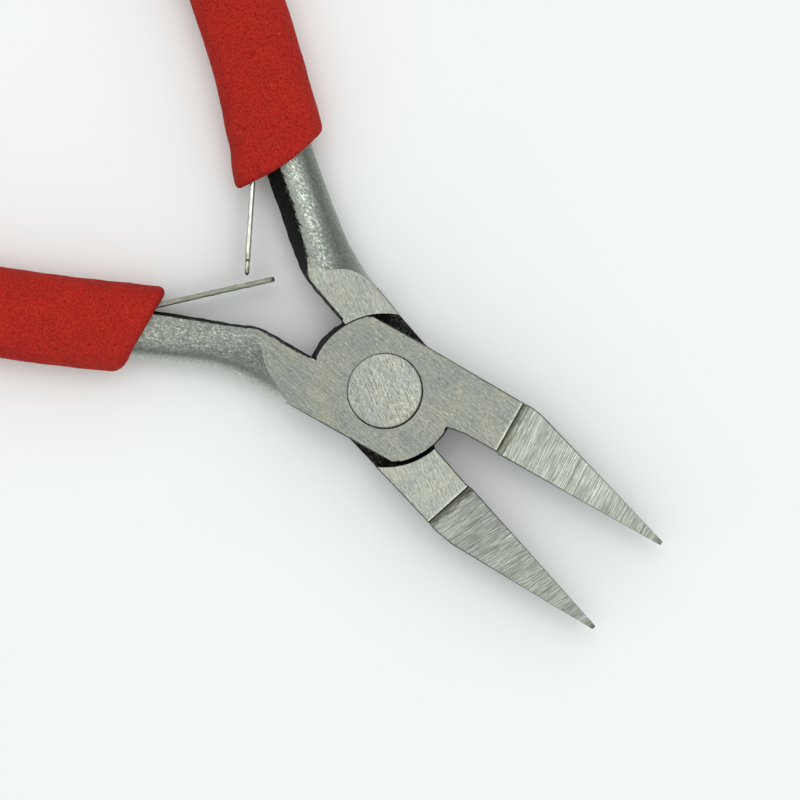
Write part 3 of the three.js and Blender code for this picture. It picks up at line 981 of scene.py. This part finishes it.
def wall_scale(paint, side, past):
    """The inner wall's black scale: its colour, and where it is. Past is the way past the arris."""
    ragged = paint.noise(paint.streaked(side.shank_streaks, 1, 4), detail=4, roughness=0.7)
    beyond = paint.sum((past, 1.0), (ragged, side.raggedness))
    middle_edge = 0.5 * side.raggedness
    mask = paint.ramp(beyond, [(middle_edge - 0.03, 0), (middle_edge + 0.03, 1)])
    crust = paint.noise(paint.streaked(side.shank_streaks, 2, 5), detail=4, roughness=0.75)
    black = paint.ramp(crust, [(0.5, (0.004, 0.004, 0.004)), (0.62, (0.012, 0.012, 0.011)),
                               (0.7, (0.12, 0.12, 0.11))])
    return black, mask


def handle_steel(name, side):
    """The handle's root and shank: shot-blasted on top, and black forging scale on the inner wall.

    The scale's ragged edge follows the arris between them, with chips on both sides of it.
    """
    paint = Paint(name, 1, 0.3, side)
    inner = curve(side.handle_inner)
    outer = curve(side.handle_outer)
    wall = curve(side.wall)
    arris = paint.profile(paint.axis("X"), lambda x: inner(x) - wall(x), *HANDLE_SPAN)
    width = paint.profile(paint.axis("X"), lambda x: inner(x) - wall(x) - outer(x), *HANDLE_SPAN)
    past = paint.math("SUBTRACT", paint.axis("Y"), arris)
    across = paint.math("DIVIDE", paint.math("MULTIPLY", past, -1.0), width)
    steel, grain = blasted_steel(paint, side, across)
    black, mask = wall_scale(paint, side, past)
    paint.link(paint.math("SUBTRACT", 1.0, mask), paint.shader.inputs["Metallic"])
    paint.shader.inputs["Specular IOR Level"].default_value = 0.15
    base = paint.mix(mask, steel, black)
    height = paint.sum((grain, 1.0), (mask, 0.3))
    gloss = paint.ramp(mask, [(0, 0.3), (1, 0.75)])
    return paint.finish(base, height, 0.12, gloss)


def edge_steel(name, side):
    """The unground sides, dull and dark, and worn brighter towards the handle."""
    paint = Paint(name, 1, 0.45, side)
    lumps = paint.noise(paint.place, scale=2.2, detail=4, roughness=0.7)
    base = paint.ramp(lumps, [(0.4, (0.05, 0.05, 0.045)), (0.55, (0.08, 0.08, 0.072)),
                              (0.7, (0.15, 0.15, 0.135))])
    along = paint.sum((paint.axis("X"), 1.0), (lumps, 2.0))
    worn = paint.ramp(along, [(-8, 3.0), (-5.5, 1.4), (-3, 1)])
    base = paint.mix(1.0, base, worn, "MULTIPLY")
    return paint.finish(base, lumps, 0.05)


def black_scale(name):
    """The forging's unground skin, near black, with a few greyer worn spots."""
    paint = Paint(name, 0, 0.75)
    paint.shader.inputs["Specular IOR Level"].default_value = 0.12
    lumps = paint.noise(paint.place, scale=3.2, detail=4, roughness=0.65)
    base = paint.ramp(lumps, [(0.42, (0.006, 0.006, 0.006)), (0.56, (0.022, 0.022, 0.02)),
                              (0.68, (0.12, 0.12, 0.105))])
    return paint.finish(base, lumps, 0.15)


def strip_steel(name, side):
    """The leaf springs' sheared edge, drawn along the strip, with blotches towards the tip."""
    paint = Paint(name, 1, side.spring_gloss, side)
    streak = paint.noise(paint.streaked(math.radians(43), 1, 5), detail=4, roughness=0.7)
    dark, middle, light = shades(side.spring_colour, 0.7, 1.3)
    base = paint.ramp(streak, [(0.38, dark), (0.5, middle), (0.62, light)])
    blotches = paint.noise(paint.place, scale=3.5, detail=3, roughness=0.7)
    along = paint.sum((paint.axis("X"), 1.0), (blotches, 1.5))
    base = paint.mix(1.0, base, paint.ramp(along, side.spring_tones), "MULTIPLY")
    return paint.finish(base, streak, 0.018)


def red_foam(name):
    """Closed-cell foam: matt red with small dark pores and a few pale specks."""
    paint = Paint(name, 0, 0.9)
    paint.shader.inputs["Specular IOR Level"].default_value = 0.15
    cells = paint.noise(paint.place, scale=4.2, detail=4, roughness=0.75)
    clouds = paint.noise(paint.place, scale=0.35, detail=3)
    specks = paint.noise(paint.place, scale=3.1, detail=1)
    base = paint.ramp(cells, [(0.34, (0.17, 0.006, 0.005)), (0.42, (0.43, 0.017, 0.012)),
                              (0.52, (0.53, 0.024, 0.015)), (0.64, (0.62, 0.036, 0.022))])
    tint = paint.ramp(clouds, [(0.35, (0.93, 0.93, 0.95)), (0.65, (1.03, 1.0, 1.0))])
    base = paint.mix(1.0, base, tint, "MULTIPLY")
    pale = paint.ramp(specks, [(0.77, 0), (0.81, 1)])
    base = paint.mix(pale, base, (0.6, 0.16, 0.13))
    return paint.finish(base, cells, 0.25)


def finish_at(side, face):
    """Which finish a lever's face has, by where it lies and which way it is turned."""
    x, y, z = face.center / MM
    radius = math.hypot(x, y)
    lengthways, sideways, level = (abs(n) for n in face.normal)
    if x > JAW_ROOT_X + 0.02:
        return "jaw" if level > 0.97 or lengthways > sideways else "edge"
    if level > 0.99 and abs(z - MID_Z) > MID_Z - 0.02:
        return "ground"
    if x > JAW_ROOT_X - 0.2 and lengthways > sideways:
        return "ground"
    if x < PLATE_END_X + 0.4 and radius > HANDLE_SHOULDER_FOOT_RADIUS:
        return "handle"
    if radius > HANDLE_SHOULDER_FOOT_RADIUS - 1 and abs(y) > side.bar_side - 0.5:
        return "edge"
    if x > 0 and radius > JAW_SHOULDER_FOOT_RADIUS + 0.1:
        return "edge"
    if abs(y) > side.bar_side - 0.3 and sideways > 0.5:
        return "edge"
    return "scale"


def assign_lever_materials(side, obj):
    name = side.name
    finishes = {
        "ground": ground_steel(f"{name}_ground_steel", side, side.face_streaks, side.face_tones_and_edge_highlight,
                               contrast=0.95, scuffs=0.3),
        "jaw": jaw_steel(f"{name}_jaw_steel", side),
        "edge": edge_steel(f"{name}_edge_steel", side),
        "handle": handle_steel(f"{name}_handle_steel", side),
        "scale": black_scale(f"{name}_scale"),
    }
    obj.data.materials.clear()
    for material in finishes.values():
        obj.data.materials.append(material)
    order = list(finishes)
    for face in obj.data.polygons:
        face.material_index = order.index(finish_at(side, face))


# Scene


def world_light():
    """A broad soft light overhead, tilted a little to +Y, dimmer at the very top and dim low down."""
    world = bpy.data.worlds.new("studio")
    bpy.context.scene.world = world
    world.use_nodes = True
    nodes = world.node_tree.nodes
    links = world.node_tree.links
    direction = nodes.new("ShaderNodeTexCoord").outputs["Generated"]
    glow = [(0.0, (0.082, 0.092, 0.09)), (0.5, (0.124, 0.134, 0.131)), (0.8, (0.205, 0.218, 0.214)),
            (0.93, (0.41, 0.425, 0.42)), (0.97, (0.995, 1.0, 0.985)), (1.0, (0.995, 1.0, 0.985))]
    overhead = [(0.0, 1.0), (0.97, 1.0), (0.99, 0.5), (1.0, 0.4)]
    layers = []
    for axis, stops in ((LIGHT_AXIS, glow), ((0, 0, 1), overhead)):
        towards = nodes.new("ShaderNodeVectorMath")
        towards.operation = "DOT_PRODUCT"
        towards.inputs[1].default_value = axis
        links.new(direction, towards.inputs[0])
        ramp = nodes.new("ShaderNodeValToRGB")
        set_stops(ramp.color_ramp, stops)
        links.new(towards.outputs["Value"], ramp.inputs["Fac"])
        layers.append(ramp.outputs["Color"])
    both = nodes.new("ShaderNodeVectorMath")
    both.operation = "MULTIPLY"
    links.new(layers[0], both.inputs[0])
    links.new(layers[1], both.inputs[1])
    links.new(both.outputs["Vector"], nodes["Background"].inputs["Color"])
    nodes["Background"].inputs["Strength"].default_value = LIGHT_STRENGTH


def floor():
    corners = [(x * FLOOR_HALF_SIZE, y * FLOOR_HALF_SIZE, 0)
               for x, y in ((-1, -1), (1, -1), (1, 1), (-1, 1))]
    obj = make_object("floor", corners, [(0, 1, 2, 3)])
    obj.location.z = FLOOR_Z
    paint = Paint("floor_card", 0, 0.9)
    clouds = paint.noise(paint.place, scale=0.02, detail=2)
    colour = paint.ramp(clouds, [(0.3, (0.865, 0.87, 0.868)), (0.7, (0.885, 0.89, 0.888))])
    obj.data.materials.append(paint.finish(colour))


def camera():
    data = bpy.data.cameras.new("camera")
    data.lens = CAMERA_LENS
    data.sensor_width = CAMERA_SENSOR
    obj = bpy.data.objects.new("camera", data)
    obj.matrix_world = Matrix.Translation(CAMERA_PLACE) @ Matrix.Rotation(CAMERA_TURN, 4, "Z")
    bpy.context.scene.collection.objects.link(obj)
    bpy.context.scene.camera = obj


def build_side(side):
    name = side.name
    steel_lever = lever(side)
    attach(steel_lever, name)
    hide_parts(f"{name}_lever")

    sleeve = grip(side)
    sleeve.data.materials.append(red_foam(f"{name}_foam"))
    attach(sleeve, name)
    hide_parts(f"{name}_grip")

    strip = leaf_spring(side)
    strip.data.materials.append(strip_steel(f"{name}_spring_steel", side))
    inner = curve(side.handle_inner)
    # The point just off the tang where the strip bends
    bend = Vector((side.bend_x, inner(side.bend_x) + 0.3, MID_Z))
    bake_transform(strip)
    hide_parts(f"{name}_leaf_spring")

    spring_rivet = frame["nodes"][f"{name}_spring_rivet"]
    even_tone = [(-40, 1), (-20, 1)]
    spring_rivet.data.materials.clear()
    spring_rivet.data.materials.append(ground_steel(f"{name}_spring_rivet_steel", side, 0, even_tone))


def build_rivet():
    obj = rivet()
    tones = [(-RIVET_RADIUS, 1.15), (RIVET_RADIUS, 1.25)]
    obj.data.materials.append(ground_steel("rivet_steel", None, math.radians(-28), tones,
                                           contrast=1.4, scuffs=0.6))
    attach(obj, "pivot")
    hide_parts("pivot_rivet")


camera()
world_light()
floor()
for lever_side in (FRONT, REAR):
    build_side(lever_side)
build_rivet()
bpy.context.scene.view_settings.view_transform = "Standard"
